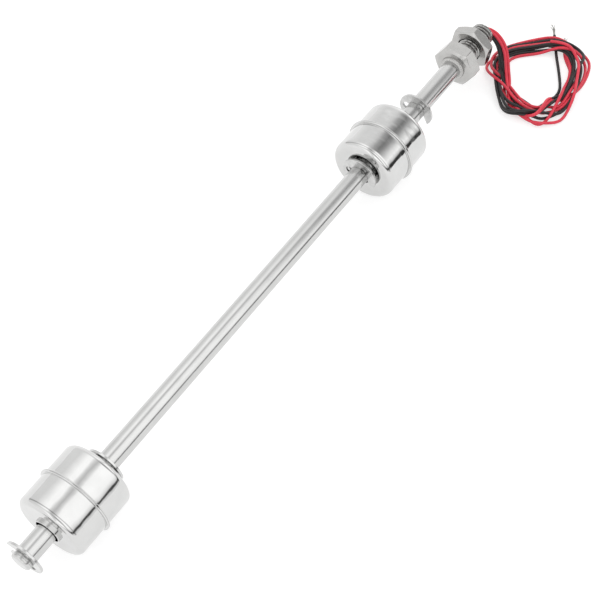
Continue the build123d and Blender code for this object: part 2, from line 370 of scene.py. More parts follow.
def divided(outline, longest):
    """The same open outline with points added, so that no step is longer than asked."""
    points = [outline[0]]
    for (start_x, start_r), (end_x, end_r) in zip(outline, outline[1:]):
        steps = math.ceil(math.hypot(end_x - start_x, end_r - start_r) / longest)
        for step in range(1, steps + 1):
            share = step / steps
            points.append((start_x + (end_x - start_x) * share, start_r + (end_r - start_r) * share))
    return points


def even_angles(count):
    """Angles round the stem, evenly spaced."""
    return [2 * math.pi * step / count for step in range(count)]


def turned(outline_at, angles):
    """A closed skin round the stem's axis, whose (x, r) outline may differ from angle to angle."""
    points = []
    faces = []
    for angle in angles:
        for x, r in outline_at(angle):
            points.append((x, r * math.cos(angle), AXIS_HEIGHT + r * math.sin(angle)))
    across = len(points) // len(angles)
    for row in range(len(angles)):
        here = row * across
        there = (row + 1) % len(angles) * across
        for index in range(across):
            after = (index + 1) % across
            faces.append((here + index, here + after, there + after, there + index))
    return points, faces


def piece_of(name, points, faces, finish, body, nodes, sharp=SHARP_DEGREES, weighted=True):
    """A closed mesh piece with its finish, on its body and in place of its nodes.

    Weighted pieces are shaded by their large faces, so that flats beside small roundings stay flat.
    """
    mesh = bpy.data.meshes.new(name)
    mesh.from_pydata(points, [], faces)
    tidy = bmesh.new()
    tidy.from_mesh(mesh)
    bmesh.ops.remove_doubles(tidy, verts=tidy.verts, dist=SAME_PLACE)
    bmesh.ops.recalc_face_normals(tidy, faces=tidy.faces)
    tidy.to_mesh(mesh)
    tidy.free()
    mesh.shade_smooth()
    mesh.set_sharp_from_angle(angle=math.radians(sharp))
    piece = bpy.data.objects.new(name, mesh)
    if weighted:
        normals = piece.modifiers.new("normals", "WEIGHTED_NORMAL")
        normals.keep_sharp = True
    return placed(piece, finish, body, nodes)


def placed(piece, finish, body, nodes):
    """Puts a new piece into the scene with its finish, its body and the nodes that it stands for."""
    bpy.context.collection.objects.link(piece)
    piece.data.materials.append(finish_of(finish))
    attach(piece, body)
    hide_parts(*nodes)
    return piece


# Finishes

PATCH_DETAIL = 3.0
GRAIN_DETAIL = 4.0
# The part of a noise texture's values that is spread over the whole range of a finish
NOISE_RANGE = (0.3, 0.7)
# The waves that polishing leaves on the floats: how many to the metre along each axis, and how deep they are
POLISH_STRETCH = (300.0, 160.0, 160.0)
POLISH_DETAIL = 1.0
POLISH_WAVE = 0.07 * MM
# Painted shade in the thread's roots, darkening their colour: between these distances from the axis, and from
# and to these places
PAINTED_ROOT_SHADE_RADII = (4.3 * MM, 4.95 * MM)
PAINTED_ROOT_SHADE_START = (SEAT_X - 0.1 * MM, SEAT_X + 0.1 * MM)
PAINTED_ROOT_SHADE_END = (EXIT_X - 0.8 * MM, EXIT_X - 0.6 * MM)
PAINTED_ROOT_SHADE = 0.3


def cleared_tree(holder):
    """The node tree of a new material or world, with nothing in it."""
    holder.use_nodes = True
    holder.node_tree.nodes.clear()
    return holder.node_tree


def node_of(tree, kind, inputs, **settings):
    """A new shader node with its settings. A socket given for an input is linked, and a value is set."""
    node = tree.nodes.new("ShaderNode" + kind)
    for name, setting in settings.items():
        setattr(node, name, setting)
    for name, source in inputs.items():
        if isinstance(source, bpy.types.NodeSocket):
            tree.links.new(source, node.inputs[name])
        else:
            node.inputs[name].default_value = source
    return node


def spread(tree, source, start, end, low=0.0, high=1.0):
    """A value that runs from low to high while its source runs from start to end, and stays past them."""
    inputs = {"Value": source, "From Min": start, "From Max": end, "To Min": low, "To Max": high}
    return node_of(tree, "MapRange", inputs).outputs["Result"]


def grain(tree, stretch, detail):
    """A noise texture over the object's own coordinates, as the output that gives its value."""
    place = node_of(tree, "TexCoord", {})
    mapping = node_of(tree, "Mapping", {"Vector": place.outputs["Object"], "Scale": stretch})
    inputs = {"Vector": mapping.outputs["Vector"], "Scale": 1.0, "Detail": detail}
    return node_of(tree, "TexNoise", inputs).outputs["Fac"]


def tinted(tree, source, colour, darkest):
    """A colour that runs from a darker shade of itself to itself with a texture's value."""
    ramp = node_of(tree, "ValToRGB", {"Fac": source})
    shades = (tuple(channel * darkest for channel in colour), colour)
    for element, place, shade in zip(ramp.color_ramp.elements, NOISE_RANGE, shades):
        element.position = place
        element.color = (*shade, 1.0)
    return ramp.outputs["Color"]


def raised(tree, source, depth, under=None):
    """A surface normal bumped by a texture to a depth, over another bump where one is given."""
    inputs = {"Height": source, "Distance": depth}
    if under is not None:
        inputs["Normal"] = under
    return node_of(tree, "Bump", inputs).outputs["Normal"]


def finish_with(name, colour, darkest, patches, roughness, stretch, depth, metallic=0.0):
    """A new finish and its shader, with soft patches in its colour and a fine grain in its gloss and surface.

    Patches and stretch say how many patches and grains there are to the metre, and depth is the grain's.
    """
    material = bpy.data.materials.new(name + "_finish")
    tree = cleared_tree(material)
    patch = grain(tree, (patches,) * 3, PATCH_DETAIL)
    fine = grain(tree, stretch, GRAIN_DETAIL)
    shader = node_of(tree, "BsdfPrincipled", {
        "Base Color": tinted(tree, patch, colour, darkest),
        "Metallic": metallic,
        "Roughness": spread(tree, fine, *NOISE_RANGE, *roughness),
        "Normal": raised(tree, fine, depth),
    })
    node_of(tree, "OutputMaterial", {"Surface": shader.outputs["BSDF"]})
    return material, shader


def polished_steel():
    """The floats: drawn sheet, polished bright."""
    colour = tuple(group("switch_colours").polished_steel)
    material, shader = finish_with(
        "polished_steel", colour, darkest=0.94, patches=160.0, roughness=(0.05, 0.1),
        stretch=(2600.0, 300.0, 300.0), depth=0.0006 * MM, metallic=1.0,
    )
    tree = material.node_tree
    wave = grain(tree, POLISH_STRETCH, POLISH_DETAIL)
    fine = shader.inputs["Normal"].links[0].from_socket
    tree.links.new(raised(tree, wave, POLISH_WAVE, fine), shader.inputs["Normal"])
    return material


def satin_steel():
    """The stem: welded tube, ground along its length."""
    colour = tuple(group("switch_colours").drawn_steel)
    return finish_with(
        "satin_steel", colour, darkest=0.94, patches=120.0, roughness=(0.13, 0.22),
        stretch=(90.0, 2400.0, 2400.0), depth=0.002 * MM, metallic=1.0,
    )[0]


def head_steel():
    """The head and its nut: turned from hex bar, with painted shade darkening the colour in the roots of the
    cut thread.
    """
    colour = tuple(group("switch_colours").turned_steel)
    material, shader = finish_with(
        "head_steel", colour, darkest=0.93, patches=300.0, roughness=(0.12, 0.2),
        stretch=(1500.0, 900.0, 900.0), depth=0.0012 * MM, metallic=1.0,
    )
    tree = material.node_tree
    # Painted shade: the base colour is darkened near the thread's roots, from the hex's seat to the thread's
    # end
    place = node_of(tree, "TexCoord", {}).outputs["Object"]
    along = node_of(tree, "SeparateXYZ", {"Vector": place}).outputs["X"]
    from_axis = {"Vector": place, "Location": (0.0, 0.0, -AXIS_HEIGHT), "Scale": (0.0, 1.0, 1.0)}
    across = node_of(tree, "Mapping", from_axis).outputs["Vector"]
    outward = node_of(tree, "VectorMath", {0: across}, operation="LENGTH").outputs["Value"]
    shade = spread(tree, outward, *PAINTED_ROOT_SHADE_RADII, PAINTED_ROOT_SHADE, 1.0)
    for limits, low, high in ((PAINTED_ROOT_SHADE_START, 1.0, 0.0), (PAINTED_ROOT_SHADE_END, 0.0, 1.0)):
        beside = spread(tree, along, *limits, low, high)
        shade = node_of(tree, "Math", {0: shade, 1: beside}, operation="MAXIMUM").outputs["Value"]
    unshaded = shader.inputs["Base Color"].links[0].from_socket
    root_shaded = node_of(tree, "MixRGB", {"Fac": 1.0, "Color1": unshaded, "Color2": shade}, blend_type="MULTIPLY")
    tree.links.new(root_shaded.outputs["Color"], shader.inputs["Base Color"])
    return material


def clip_steel():
    """The retaining clips: stamped from sprung strip."""
    colour = tuple(group("switch_colours").polished_steel)
    return finish_with(
        "clip_steel", colour, darkest=0.85, patches=500.0, roughness=(0.14, 0.24),
        stretch=(700.0, 900.0, 2200.0), depth=0.002 * MM, metallic=1.0,
    )[0]


def insulation(name):
    """Soft plastic over a wire, a little uneven from the extruder."""
    colour = tuple(getattr(group("switch_colours"), name))
    material, shader = finish_with(
        name, colour, darkest=0.86, patches=260.0, roughness=(0.34, 0.5),
        stretch=(900.0, 900.0, 900.0), depth=0.012 * MM,
    )
    shader.inputs["Specular IOR Level"].default_value = 0.4
    return material


def red_insulation():
    """The red wires' cover."""
    return insulation("red_insulation")


def black_insulation():
    """The black wires' cover."""
    return insulation("black_insulation")


def bare_strands():
    """Tinned copper strands."""
    colour = tuple(group("switch_colours").tinned_copper)
    return finish_with(
        "bare_strands", colour, darkest=0.85, patches=900.0, roughness=(0.22, 0.36),
        stretch=(3000.0, 3000.0, 3000.0), depth=0.003 * MM, metallic=1.0,
    )[0]


def magnet_ferrite():
    """The ring magnets: pressed and fired ferrite."""
    return finish_with(
        "magnet_ferrite", (0.045, 0.043, 0.044), darkest=0.7, patches=900.0, roughness=(0.55, 0.7),
        stretch=(2500.0, 2500.0, 2500.0), depth=0.01 * MM,
    )[0]


def collar_plastic():
    """The collars that hold the magnets."""
    return finish_with(
        "collar_plastic", (0.55, 0.54, 0.5), darkest=0.93, patches=300.0, roughness=(0.4, 0.5),
        stretch=(1200.0, 1200.0, 1200.0), depth=0.006 * MM,
    )[0]


def reed_glass():
    """The reed switches' glass, faintly green."""
    material, shader = finish_with(
        "reed_glass", (0.72, 0.86, 0.76), darkest=0.96, patches=400.0, roughness=(0.02, 0.06),
        stretch=(800.0, 800.0, 800.0), depth=0.001 * MM,
    )
    shader.inputs["Transmission Weight"].default_value = 0.9
    shader.inputs["IOR"].default_value = 1.5
    return material


def reed_lead_metal():
    """The reed switches' plated leads."""
    return finish_with(
        "reed_lead_metal", (0.62, 0.6, 0.55), darkest=0.85, patches=900.0, roughness=(0.25, 0.4),
        stretch=(2500.0, 2500.0, 2500.0), depth=0.003 * MM, metallic=1.0,
    )[0]


def shrink_plastic():
    """The shrink sleeves round the reed switches."""
    return finish_with(
        "shrink_plastic", (0.03, 0.03, 0.032), darkest=0.8, patches=500.0, roughness=(0.45, 0.6),
        stretch=(900.0, 900.0, 900.0), depth=0.01 * MM,
    )[0]


def potting_resin():
    """The resin in the head's bore."""
    return finish_with(
        "potting_resin", (0.03, 0.028, 0.027), darkest=0.75, patches=600.0, roughness=(0.25, 0.4),
        stretch=(1100.0, 1100.0, 1100.0), depth=0.02 * MM,
    )[0]


FINISHES = {
    "polished_steel": polished_steel,
    "satin_steel": satin_steel,
    "head_steel": head_steel,
    "clip_steel": clip_steel,
    "red_insulation": red_insulation,
    "black_insulation": black_insulation,
    "bare_strands": bare_strands,
    "magnet_ferrite": magnet_ferrite,
    "collar_plastic": collar_plastic,
    "reed_glass": reed_glass,
    "reed_lead_metal": reed_lead_metal,
    "shrink_plastic": shrink_plastic,
    "potting_resin": potting_resin,
}


def finish_of(name):
    """The finish of this name, made when it is first asked for."""
    made = bpy.data.materials.get(name + "_finish")
    return made if made is not None else FINISHES[name]()


# The stage

# How bright the studio is at these degrees from +Y over the top to -Y. Each row is for directions that lean
# along the stem by its second value or more, and it takes over from the row before from its first value on
STUDIO_DEGREES = (
    0.0, 31.0, 45.0, 62.0, 74.0, 82.0, 90.0, 98.0, 106.0, 116.0,
    128.0, 140.0, 152.0, 161.0, 165.0, 167.5, 172.0, 175.0, 178.0, 180.0,
)
STUDIO_ROWS = (
    (0.0, 0.0, (
        0.5, 0.5, 0.6, 0.75, 0.75, 0.5, 0.35, 0.5, 0.75, 0.75,
        0.75, 0.75, 0.75, 0.6, 0.45, 0.1, 0.1, 0.4, 0.5, 0.5,
    )),
    (0.06, 0.14, (
        1.0, 1.0, 1.2, 1.5, 1.5, 1.0, 0.75, 1.0, 1.45, 1.5,
        1.5, 1.5, 1.45, 1.15, 0.9, 0.08, 0.08, 0.9, 1.0, 1.05,
    )),
    (0.42, 0.53, (
        1.12, 0.97, 1.0, 1.0, 0.92, 0.75, 0.52, 0.4, 0.27, 0.38,
        0.72, 1.1, 1.4, 1.0, 0.6, 0.05, 0.04, 0.04, 0.04, 0.3,
    )),
    (0.57, 0.61, (
        1.15, 1.15, 1.2, 1.2, 1.1, 1.0, 0.8, 0.65, 0.55, 0.5,
        0.5, 0.55, 0.6, 0.55, 0.45, 0.3, 0.3, 0.35, 0.5, 0.7,
    )),
    (0.7, 0.8, (
        1.2, 1.2, 1.3, 1.5, 1.5, 1.3, 1.0, 1.0, 1.3, 1.5,
        1.5, 1.5, 1.5, 1.3, 1.0, 0.6, 0.6, 0.8, 1.0, 1.1,
    )),
)
BRIGHTEST = 1.5


def studio_world():
    """Soft boxes and dark gaps between them, which run along the stem. The camera sees plain white."""
    world = bpy.data.worlds.new("studio")
    tree = cleared_tree(world)
    place = node_of(tree, "TexCoord", {}).outputs["Generated"]
    way = node_of(tree, "SeparateXYZ", {"Vector": place}).outputs
    turn = node_of(tree, "Math", {0: way["Z"], 1: way["Y"]}, operation="ARCTAN2").outputs["Value"]
    share = node_of(tree, "Math", {0: turn, 1: math.pi}, operation="DIVIDE").outputs["Value"]
    lean = node_of(tree, "Math", {0: way["X"]}, operation="ABSOLUTE").outputs["Value"]
    light = None
    for first, full, row in STUDIO_ROWS:
        bands = node_of(tree, "ValToRGB", {"Fac": share})
        ramp = bands.color_ramp
        ramp.elements.remove(ramp.elements[1])
        for index, (degrees, bright) in enumerate(zip(STUDIO_DEGREES, row)):
            element = ramp.elements.new(degrees / 180.0) if index else ramp.elements[0]
            element.color = (*(bright / BRIGHTEST,) * 3, 1.0)
        if light is None:
            light = bands.outputs["Color"]
            continue
        inputs = {"Fac": spread(tree, lean, first, full), "Color1": light, "Color2": bands.outputs["Color"]}
        light = node_of(tree, "MixRGB", inputs).outputs["Color"]
    strength = BRIGHTEST * group("switch_stage").studio_light
    boxes = node_of(tree, "Background", {"Color": light, "Strength": strength})
    white = node_of(tree, "Background", {"Color": (1.0, 1.0, 1.0, 1.0)})
    seen = node_of(tree, "LightPath", {}).outputs["Is Camera Ray"]
    inputs = {"Fac": seen, 1: boxes.outputs["Background"], 2: white.outputs["Background"]}
    mix = node_of(tree, "MixShader", inputs)
    node_of(tree, "OutputWorld", {"Surface": mix.outputs["Shader"]})
    return world


def floor_finish():
    """White paper, lifted to white where the camera, gloss or glass sees it, so that only shadows show."""
    material = bpy.data.materials.new("floor")
    tree = cleared_tree(material)
    paper = node_of(tree, "BsdfDiffuse", {"Color": (*group("switch_colours").floor, 1.0)})
    rays = node_of(tree, "LightPath", {}).outputs
    seen = rays["Is Camera Ray"]
    for kind in ("Is Glossy Ray", "Is Transmission Ray"):
        seen = node_of(tree, "Math", {0: seen, 1: rays[kind]}, operation="ADD").outputs["Value"]
    inputs = {0: seen, 1: group("switch_stage").floor_glow}
    strength = node_of(tree, "Math", inputs, operation="MULTIPLY").outputs["Value"]
    glow = node_of(tree, "Emission", {"Strength": strength})
    total = node_of(tree, "AddShader", {0: paper.outputs["BSDF"], 1: glow.outputs["Emission"]})
    node_of(tree, "OutputMaterial", {"Surface": total.outputs["Shader"]})
    return material


class SWITCH_OT_stage(bpy.types.Operator):
    """Sets up the camera, the floor and the studio"""

    bl_idname = "switch.stage"
    bl_label = "Stage"

    def execute(self, context):
        stage = group("switch_stage")
        lens = bpy.data.cameras.new("camera")
        lens.lens = stage.camera_lens
        camera = bpy.data.objects.new("camera", lens)
        camera.location = stage.camera_place
        camera.rotation_euler = (stage.camera_tilt, 0.0, stage.camera_turn)
        context.collection.objects.link(camera)
        context.scene.camera = camera
        half = stage.floor_size / 2
        mesh = bpy.data.meshes.new("floor")
        corners = [(-half, -half), (half, -half), (half, half), (-half, half)]
        mesh.from_pydata([(x, y, -FLOOR_GAP) for x, y in corners], [], [(0, 1, 2, 3)])
        mesh.materials.append(floor_finish())
        floor = bpy.data.objects.new("floor", mesh)
        context.collection.objects.link(floor)
        context.scene.world = studio_world()
        context.scene.view_settings.view_transform = "Standard"
        return {"FINISHED"}


# The wires

# Where each wire leaves the thread's end, as (y, z), and its points from there down to the coil, measured
# from the thread's end along X
WIRE_EXITS = {
    "red_wire_1": (0.00075, 0.0169),
    "red_wire_2": (-0.00075, 0.0169),
    "black_wire_1": (-0.0021, 0.0151),
    "black_wire_2": (0.0, 0.0138),
}
WIRE_ROUTES = {
    "red_wire_1": [
        (0.0007, 0.0003, 0.0169),
        (0.0016, -0.00075, 0.0166),
        (0.00235, -0.0027, 0.0161),
        (0.0027, -0.0056, 0.0151),
        (0.0017, -0.0098, 0.0128),
        (0.0000, -0.0126, 0.0096),
        (-0.0023, -0.0148, 0.0066),
        (-0.0046, -0.0168, 0.0042),
        (-0.0070, -0.0188, 0.0029),
    ],
    "red_wire_2": [
        (0.0005, -0.00145, 0.01685),
        (0.0009, -0.0029, 0.0163),
        (0.0011, -0.0054, 0.0154),
        (0.0004, -0.0092, 0.0130),
        (-0.0013, -0.0122, 0.0100),
        (-0.0034, -0.0141, 0.0073),
        (-0.0057, -0.0160, 0.0050),
        (-0.0081, -0.0178, 0.0037),
    ],
    "black_wire_1": [
        (0.0006, -0.0029, 0.0149),
        (0.0009, -0.0044, 0.01435),
        (0.0007, -0.0065, 0.0134),
        (-0.0003, -0.0090, 0.0112),
        (-0.0016, -0.0112, 0.0080),
        (-0.0039, -0.0132, 0.0056),
        (-0.0063, -0.0152, 0.0036),
        (-0.0082, -0.0173, 0.0024),
    ],
    "black_wire_2": [
        (0.0007, -0.0005, 0.01375),
        (0.00125, -0.0020, 0.0134),
        (0.0013, -0.0044, 0.0128),
        (0.0005, -0.0070, 0.0112),
        (-0.0006, -0.0089, 0.0092),
        (-0.0021, -0.0107, 0.0068),
        (-0.0046, -0.0128, 0.0046),
        (-0.0072, -0.0147, 0.0029),
        (-0.0092, -0.0166, 0.0018),
    ],
}

# Stations round the coil, each with its inner and its outer edge on the floor, the way that the wires run
COIL_STATIONS = (
    ((0.1460, -0.0163), (0.1405, -0.0066)),
    ((0.1390, -0.0204), (0.1275, -0.0208)),
    ((0.1363, -0.0283), (0.1249, -0.0280)),
    ((0.1349, -0.0350), (0.1253, -0.0386)),
    ((0.1400, -0.0364), (0.1294, -0.0425)),
    ((0.1440, -0.0378), (0.1360, -0.0462)),
    ((0.1481, -0.0391), (0.1434, -0.0465)),
    ((0.1530, -0.0355), (0.1530, -0.0460)),
    ((0.1587, -0.0322), (0.1687, -0.0423)),
    ((0.1635, -0.0290), (0.1730, -0.0380)),
    ((0.1661, -0.0265), (0.1748, -0.0315)),
    ((0.1635, -0.0225), (0.1740, -0.0225)),
    ((0.1598, -0.0176), (0.1671, -0.0135)),
    ((0.1560, -0.0140), (0.1587, -0.0058)),
    ((0.1520, -0.0127), (0.1485, -0.0036)),
)
STATIONS = len(COIL_STATIONS)

# Where a wire's lane across the coil is chosen, in stations. A lane is 0 at the inner edge, 1 at the outer
LANE_PLACES = (0.0, 1.0, 2.0, 3.0, 4.0, 5.0, 6.0, 7.5, 9.0, 10.0, 11.5, 13.0)
WIRE_LANES = {
    "red_wire_1": [
        (0.05, 0.25, 0.55, 1.00, 0.16, 0.05, 0.20, 0.42, 0.35, 0.45, 0.66, 0.55),
        (1.02, 0.30, 0.33, 0.25, 0.45, 0.60, 0.70, 0.95, 0.78, 0.32, 0.10, 0.10),
        (0.15, 0.50, 0.75, 0.93, 1.00, 1.12, 1.00, 0.68, 0.54, 0.50, 0.50, 0.50),
    ],
    "red_wire_2": [
        (0.12, 0.30, 0.75, 0.85, 0.30, 0.12, 0.50, 1.02, 1.02, 1.05, 1.12, 0.92),
        (0.76, 0.03, 0.12, 0.10, 0.30, 0.50, 0.55, 0.72, 0.68, 0.72, 0.60, 0.68),
        (0.52, 0.60, 0.60, 0.95, 0.98, 0.45, 0.18, 0.42, 0.30, 0.30, 0.30, 0.30),
    ],
    "black_wire_1": [
        (0.20, 0.15, 0.00, 0.00, 0.10, 0.12, 0.22, 0.50, 0.44, 0.35, 0.30, 0.30),
        (0.48, 0.80, 0.95, 0.55, 0.38, 0.30, 0.36, 0.58, 0.92, 1.04, 0.90, 0.80),
        (0.35, 0.95, 1.00, 0.62, 0.72, 0.72, 0.72, 0.52, 0.50, 0.40, 0.38, 0.38),
    ],
    "black_wire_2": [
        (0.30, 0.25, 0.40, 0.15, 0.25, 0.25, 0.42, 0.68, 0.72, 0.60, 0.48, 0.42),
        (0.64, 0.95, 1.08, 0.50, 0.60, 0.82, 0.86, 0.80, 0.60, 0.50, 0.45, 0.50),
        (0.68, 0.70, 0.65, 0.30, 0.12, 0.05, 0.05, 0.05, 0.05, 0.05, 0.05, 0.05),
    ],
}
COIL_START = 1.2
COIL_ENDS = {"red_wire_1": 41.0, "red_wire_2": 38.0, "black_wire_1": 41.0, "black_wire_2": 34.7}
COIL_STEPS = 6

# The ends that leave the coil: one black across its middle and out beyond it, one red just past its edge
LOOSE_ENDS = {
    "red_wire_2": [
        (0.1650, -0.0335, 0.0008),
        (0.1675, -0.0309, 0.0008),
        (0.1705, -0.0288, 0.0008),
        (0.1738, -0.0273, 0.0009),
    ],
    "black_wire_2": [
        (0.1493, -0.0389, 0.0008),
        (0.1568, -0.0341, 0.0007),
        (0.1620, -0.0303, 0.0007),
        (0.1667, -0.0268, 0.0007),
        (0.1702, -0.0246, 0.0010),
        (0.1732, -0.0226, 0.0019),
        (0.1754, -0.0209, 0.0022),
    ],
}
STRAND_ROUTES = {
    "black_wire_2": [(0.1776, -0.0193, 0.0030), (0.1799, -0.0172, 0.0030)],
    "red_wire_2": [(0.1757, -0.0263, 0.0012), (0.1776, -0.0252, 0.0014)],
}

# The order in which the strands were laid, each resting on those before it: wire, from and to in stations
LAYING_ORDER = (
    ("black_wire_2", 34.0, 99.0),
    ("red_wire_2", 37.3, 99.0),
    ("red_wire_1", 7.0, 15.0),
    ("black_wire_1", 7.0, 15.0),
    ("black_wire_2", 7.0, 15.0),
    ("red_wire_2", 7.0, 15.0),
    ("red_wire_1", 0.0, 2.6),
    ("red_wire_2", 0.0, 2.6),
    ("red_wire_1", 30.0, 33.0),
    ("red_wire_2", 30.0, 33.0),
    ("black_wire_1", 30.0, 99.0),
    ("black_wire_2", 30.0, 34.0),
    ("red_wire_2", 22.0, 30.0),
    ("black_wire_2", 22.0, 30.0),
    ("red_wire_1", 4.7, 7.0),
    ("red_wire_2", 4.7, 7.0),
    ("black_wire_1", 0.0, 7.0),
    ("black_wire_2", 0.0, 7.0),
    ("red_wire_1", 18.5, 25.0),
    ("red_wire_2", 18.5, 22.0),
    ("black_wire_1", 15.0, 22.0),
    ("black_wire_2", 15.0, 22.0),
    ("red_wire_1", 15.0, 18.5),
    ("red_wire_2", 15.0, 18.5),
    ("black_wire_1", 22.0, 30.0),
    ("red_wire_1", 25.0, 30.0),
    ("red_wire_2", 33.0, 37.3),
    ("red_wire_1", 33.0, 99.0),
    ("red_wire_2", 2.6, 4.7),
    ("red_wire_1", 2.6, 4.7),
)
# How near along a wire, in stations, a strand counts as the wire itself and not as one to rest on
OWN_STATIONS = 3.0
# How close the middles of two strands come, in diameters: they sink a little into each other's cover
NESTING = 0.82
# How far off, in such distances, a strand may lie and still be looked at
FAR_OFF = 3
# How often a wire's way on the floor, a strand's heights and at last all heights are eased
BEND_SMOOTHINGS = 9
SMOOTHINGS = 4
SAG_SMOOTHINGS = 6
# The tightest bend over another strand, and how many steps to each side of it heed it
LEAST_BEND = 2.6 * MM
BEND_STEPS = 3


def smooth_between(before, start, end, after, share):
    """A value between start and end on a smooth curve that heeds the values on both sides."""
    lean_in = (end - before) / 2
    lean_out = (after - start) / 2
    rest = 1 - share
    return (
        start * (1 + 2 * share) * rest**2
        + end * (1 + 2 * rest) * share**2
        + lean_in * share * rest**2
        - lean_out * rest * share**2
    )


def coil_point(place, lane):
    """The point on the floor at a place round the coil, in stations, and a lane across it."""
    station = math.floor(place)
    near = [COIL_STATIONS[(station + step) % STATIONS] for step in (-1, 0, 1, 2)]
    edges = []
    for edge in (0, 1):
        corners = [Vector(pair[edge]) for pair in near]
        edges.append(smooth_between(*corners, place - station))
    return edges[0].lerp(edges[1], lane)


def lane_at(wire, place):
    """The lane of a wire at a place along it, eased between the lanes that are chosen for it."""
    keys = []
    for turn, lanes in enumerate(WIRE_LANES[wire]):
        for offset, lane in zip(LANE_PLACES, lanes):
            keys.append((turn * STATIONS + offset, lane))
    for (start, first), (end, last) in zip(keys, keys[1:]):
        if place <= end:
            share = (place - start) / (end - start)
            return first + (last - first) * share**2 * (3 - 2 * share)
    return keys[-1][1]


def ease(run, axis, times):
    """Draws one coordinate of each step towards its neighbours', as often as asked. The ends stay."""
    for smoothing in range(times):
        line = [step[axis] for step in run]
        for index in range(1, len(run) - 1):
            run[index][axis] = (line[index - 1] + 2 * line[index] + line[index + 1]) / 4


def coil_run(wire):
    """A wire's way round the coil and beyond it, as (place, x, y, lowest height) at each step."""
    steps = round((COIL_ENDS[wire] - COIL_START) * COIL_STEPS)
    run = []
    for step in range(steps + 1):
        place = COIL_START + step / COIL_STEPS
        point = coil_point(place, lane_at(wire, place))
        run.append([place, point.x, point.y, group("switch_sizes").wire_diameter / 2])
    for axis in (1, 2):
        ease(run, axis, BEND_SMOOTHINGS)
    for step, (x, y, z) in enumerate(LOOSE_ENDS.get(wire, ())):
        run.append([COIL_ENDS[wire] + 1 + step, x, y, z])
    return run


def height_over(wire, place, x, y, laid):
    """How high a wire must lie at this point to clear the strands that are laid already."""
    contact = group("switch_sizes").wire_diameter * NESTING
    height = 0.0
    for other, other_place, start, end in laid:
        if max(abs(start.x - x), abs(start.y - y)) > FAR_OFF * contact:
            continue
        if other == wire and abs(other_place - place) < OWN_STATIONS:
            continue
        along = end - start
        ahead = (x - start.x) * along.x + (y - start.y) * along.y
        share = ahead / max(along.xy.length_squared, SAME_PLACE**2)
        near = start + along * min(max(share, 0.0), 1.0)
        gap = math.hypot(near.x - x, near.y - y)
        if gap < contact:
            height = max(height, near.z + math.sqrt(contact**2 - gap**2))
    return height


def settle(wire, run, first, last, laid):
    """Lays one strand of a wire on those below it, with no sharp bend over them."""
    strand = [index for index, step in enumerate(run) if first <= step[0] < last]
    needed = {}
    for index in strand:
        place, x, y, z = run[index]
        needed[index] = max(z, height_over(wire, place, x, y, laid))
    lowest = {}
    for index in strand:
        lowest[index] = needed[index]
        for other in range(index - BEND_STEPS, index + BEND_STEPS + 1):
            if other in needed:
                reach = math.hypot(run[other][1] - run[index][1], run[other][2] - run[index][2])
                lowest[index] = max(lowest[index], needed[other] - reach**2 / (2 * LEAST_BEND))
        run[index][3] = lowest[index]
    for smoothing in range(SMOOTHINGS):
        for index in strand:
            if 0 < index < len(run) - 1:
                middle = (run[index - 1][3] + run[index + 1][3]) / 2
                run[index][3] = max(lowest[index], middle)
    for index in strand:
        start = Vector(run[index][1:])
        end = Vector(run[min(index + 1, len(run) - 1)][1:])
        laid.append((wire, run[index][0], start, end))


def laid_coil():
    """The four wires' ways round the coil, with each strand resting on those below it."""
    runs = {wire: coil_run(wire) for wire in WIRE_ROUTES}
    laid = []
    for wire, first, last in LAYING_ORDER:
        settle(wire, runs[wire], first, last, laid)
    for run in runs.values():
        ease(run, 3, SAG_SMOOTHINGS)
    return runs, laid


def wire_points(wire, run, laid):
    """All the points of a wire: out of the head, down to the coil, round it and out."""
    y, z = WIRE_EXITS[wire]
    points = [Vector((EXIT_X, y, z))]
    for along, y, z in WIRE_ROUTES[wire]:
        height = height_over(wire, COIL_START, EXIT_X + along, y, laid)
        points.append(Vector((EXIT_X + along, y, max(z, height))))
    points.extend(Vector(step[1:]) for step in run)
    return points


def smooth_line(name, points):
    """A curve of one open NURBS spline with these control points."""
    curve = bpy.data.curves.new(name, "CURVE")
    curve.dimensions = "3D"
    curve.resolution_u = 3
    spline = curve.splines.new("NURBS")
    spline.points.add(len(points) - 1)
    for control, point in zip(spline.points, points):
        control.co = (*point, 1.0)
    spline.order_u = 3
    spline.use_endpoint_u = True
    return curve


def points_along(name, points):
    """Points read along the smooth line through these control points."""
    curve = bpy.data.objects.new(name, smooth_line(name, points))
    bpy.context.collection.objects.link(curve)
    mesh = bpy.data.meshes.new_from_object(curve)
    line = [vertex.co.copy() for vertex in mesh.vertices]
    bpy.data.objects.remove(curve)
    bpy.data.meshes.remove(mesh)
    return line


# A wire's bare strands: how many, how many lengths they come in, the sides of each, how far the outer ones
# stand from the middle one in radii, how far the even and the odd ones part towards their tips, and how far
# they twist in radians
STRANDS = 7
STRAND_LENGTHS = 3
STRAND_SIDES = 8
STRAND_SPACING = 2.0
STRAND_PARTINGS = (1.4, 4.0)
STRAND_TWIST = 2.6


